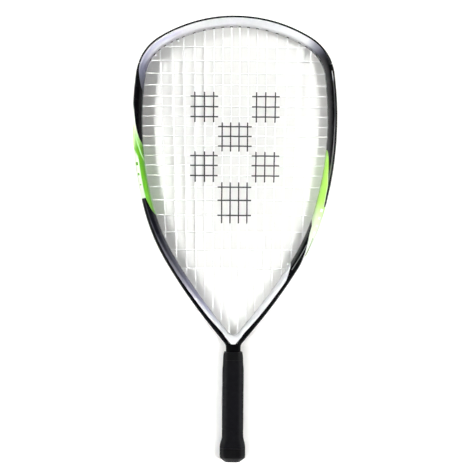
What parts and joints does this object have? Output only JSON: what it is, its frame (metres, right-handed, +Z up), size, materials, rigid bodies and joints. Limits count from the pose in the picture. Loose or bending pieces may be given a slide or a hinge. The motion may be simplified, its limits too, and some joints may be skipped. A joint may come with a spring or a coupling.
{
  "type": "racquetball racket",
  "caption": "Strung racquetball racket with a teardrop hairpin frame, string bed, bumper guard, grommet strips and a short wrapped handle with a butt cap.",
  "frame": {"origin": "on the ground under the middle of the racket's length and width, with the racket lying flat", "axes": "+Y along the racket towards the tip of the head, +X across the string bed, +Z up out of its front face"},
  "size_m": [0.2562, 0.5588, 0.0312],
  "materials": {
    "frame_paint": "glossy black, white, silver and green paint",
    "bridge_paint": "glossy white paint",
    "guard_plastic": "smooth black moulded plastic",
    "strip_plastic": "smooth pale moulded plastic",
    "string": "smooth nylon string",
    "core_foam": "hard moulded foam",
    "grip_rubber": "matt tacky rubber",
    "cap_rubber": "satin moulded rubber",
    "staple_steel": "plain steel wire"
  },
  "bodies": {
    "root": {"frame_tube": "frame_paint", "throat_bridge": "bridge_paint", "bumper_guard": "guard_plastic", "grommet_strip_left": "strip_plastic", "grommet_strip_right": "strip_plastic", "throat_grommet_strip_left": "strip_plastic", "throat_grommet_strip_right": "strip_plastic", "main_string": "string", "cross_string": "string", "handle_pallet_front": "core_foam", "handle_pallet_rear": "core_foam", "grip_collar": "cap_rubber", "grip_wrap": "grip_rubber", "butt_cap": "cap_rubber", "butt_staple_front": "staple_steel", "butt_staple_rear": "staple_steel"}
  },
  "joints": []
}
